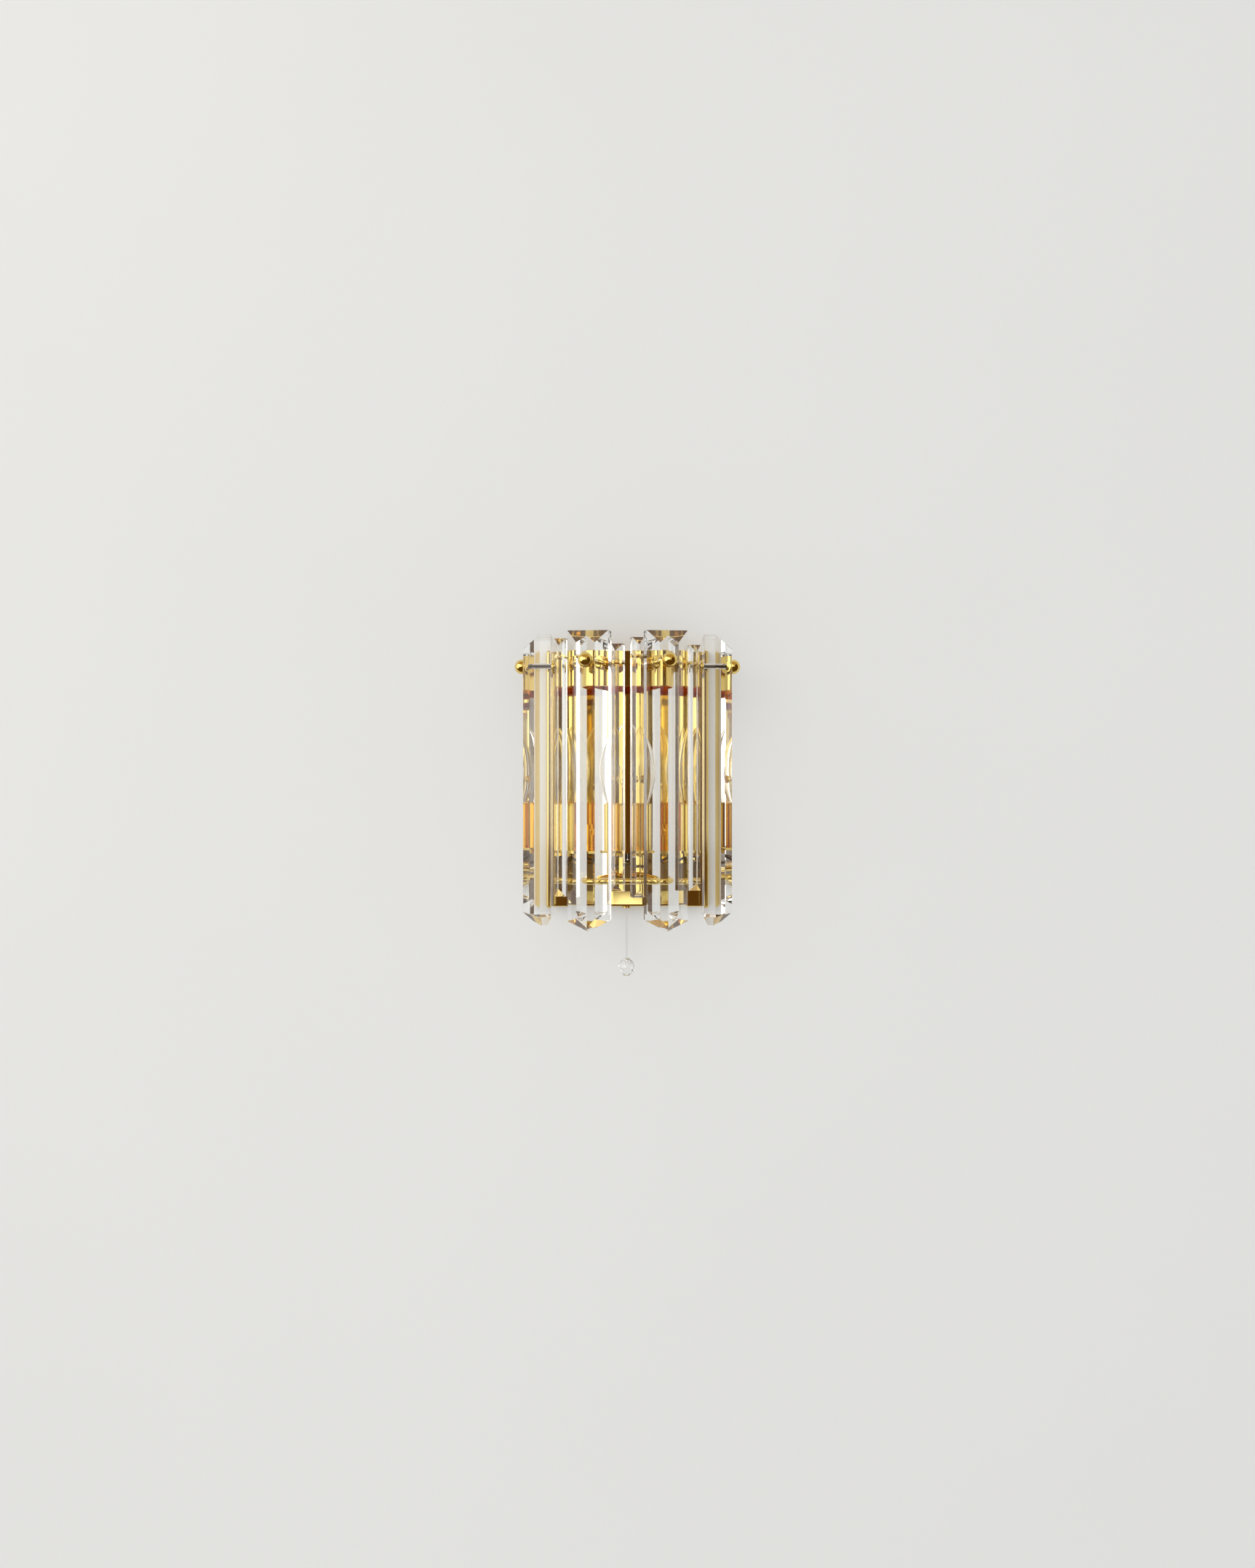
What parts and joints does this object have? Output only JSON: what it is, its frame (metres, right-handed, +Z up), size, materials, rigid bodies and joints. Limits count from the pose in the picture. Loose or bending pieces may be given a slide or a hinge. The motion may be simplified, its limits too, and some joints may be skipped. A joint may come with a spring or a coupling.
{
  "type": "crystal wall sconce",
  "caption": "Wall light with tall clear crystals hung around a polished brass frame, clear candle bulbs behind them and a pull cord switch with a faceted bead.",
  "frame": {"origin": "middle of the wall fixing, on the wall's surface", "axes": "+X to the right seen from the room, +Y into the wall, +Z up"},
  "size_m": [0.1858, 0.0965, 0.2829],
  "materials": {
    "brass": "mirror polished, gilt",
    "crystal": "polished clear crystal",
    "bulb_glass": "clear thin glass",
    "steel": "zinc plated",
    "filament_wire": "dull wire",
    "holder_plastic": "moulded, plain",
    "lead_plastic": "brown insulation",
    "brown_plastic": "moulded, satin",
    "white_plastic": "moulded, satin",
    "cord": "thin braided cord"
  },
  "bodies": {
    "frame": {"back_pan": "brass", "bracket_studs": "steel", "cap_nuts": "brass", "crystal_front_left": "crystal", "crystal_front_right": "crystal", "crystal_side_left": "crystal", "crystal_side_right": "crystal", "crystal_spacers": "brass", "crystal_studs": "brass", "earth_screw": "brass", "frame_screws": "brass", "holder_nuts": "brass", "holder_sleeve_left": "brass", "holder_sleeve_right": "brass", "lamp_lead_left": "lead_plastic", "lamp_lead_right": "lead_plastic", "lamp_shelf": "brass", "lampholder_left": "holder_plastic", "lampholder_right": "holder_plastic", "lead_grommet": "brown_plastic", "lower_ring": "brass", "prism_inner_left": "crystal", "prism_inner_right": "crystal", "prism_outer_left": "crystal", "prism_outer_right": "crystal", "prism_pins": "brass", "pull_bush": "brass", "pull_switch": "brown_plastic", "stud_nuts": "brass", "switch_lead": "lead_plastic", "terminal_block": "white_plastic", "upper_band": "brass", "wall_bracket": "steel"},
    "pull": {"switch_plunger": "white_plastic", "pull_cord": "cord", "pull_bead": "crystal"},
    "nut_front_left": {"ball_nut_front_left": "brass"},
    "nut_front_right": {"ball_nut_front_right": "brass"},
    "nut_side_left": {"ball_nut_side_left": "brass"},
    "nut_side_right": {"ball_nut_side_right": "brass"},
    "bulb_left": {"bulb_glass_left": "bulb_glass", "bulb_cap_left": "steel", "bulb_stem_left": "bulb_glass", "filament_left": "filament_wire"},
    "bulb_right": {"bulb_glass_right": "bulb_glass", "bulb_cap_right": "steel", "bulb_stem_right": "bulb_glass", "filament_right": "filament_wire"}
  },
  "joints": [
    {"name": "unscrew_front_left", "type": "hinge", "parent": "frame", "child": "nut_front_left", "pos_m": [-0.03283, -0.09051, 0.0925], "axis": [-0.0958, -0.9954, 0], "continuous": true},
    {"name": "unscrew_front_right", "type": "hinge", "parent": "frame", "child": "nut_front_right", "pos_m": [0.03283, -0.09051, 0.0925], "axis": [0.0958, -0.9954, 0], "continuous": true},
    {"name": "unscrew_side_left", "type": "hinge", "parent": "frame", "child": "nut_side_left", "pos_m": [-0.08688, -0.031, 0.0925], "axis": [-1, 0, 0], "continuous": true},
    {"name": "unscrew_side_right", "type": "hinge", "parent": "frame", "child": "nut_side_right", "pos_m": [0.08688, -0.031, 0.0925], "axis": [1, 0, 0], "continuous": true},
    {"name": "unscrew_bulb_left", "type": "hinge", "parent": "frame", "child": "bulb_left", "pos_m": [-0.028, -0.04, -0.02], "axis": [0, 0, 1], "continuous": true},
    {"name": "unscrew_bulb_right", "type": "hinge", "parent": "frame", "child": "bulb_right", "pos_m": [0.028, -0.04, -0.02], "axis": [0, 0, 1], "continuous": true},
    {"name": "pull_cord_slide", "type": "slide", "parent": "frame", "child": "pull", "axis": [0, 0, -1], "range_m": [0, 0.006], "stiffness_N_per_m": 900, "springref_m": -0.003}
  ]
}
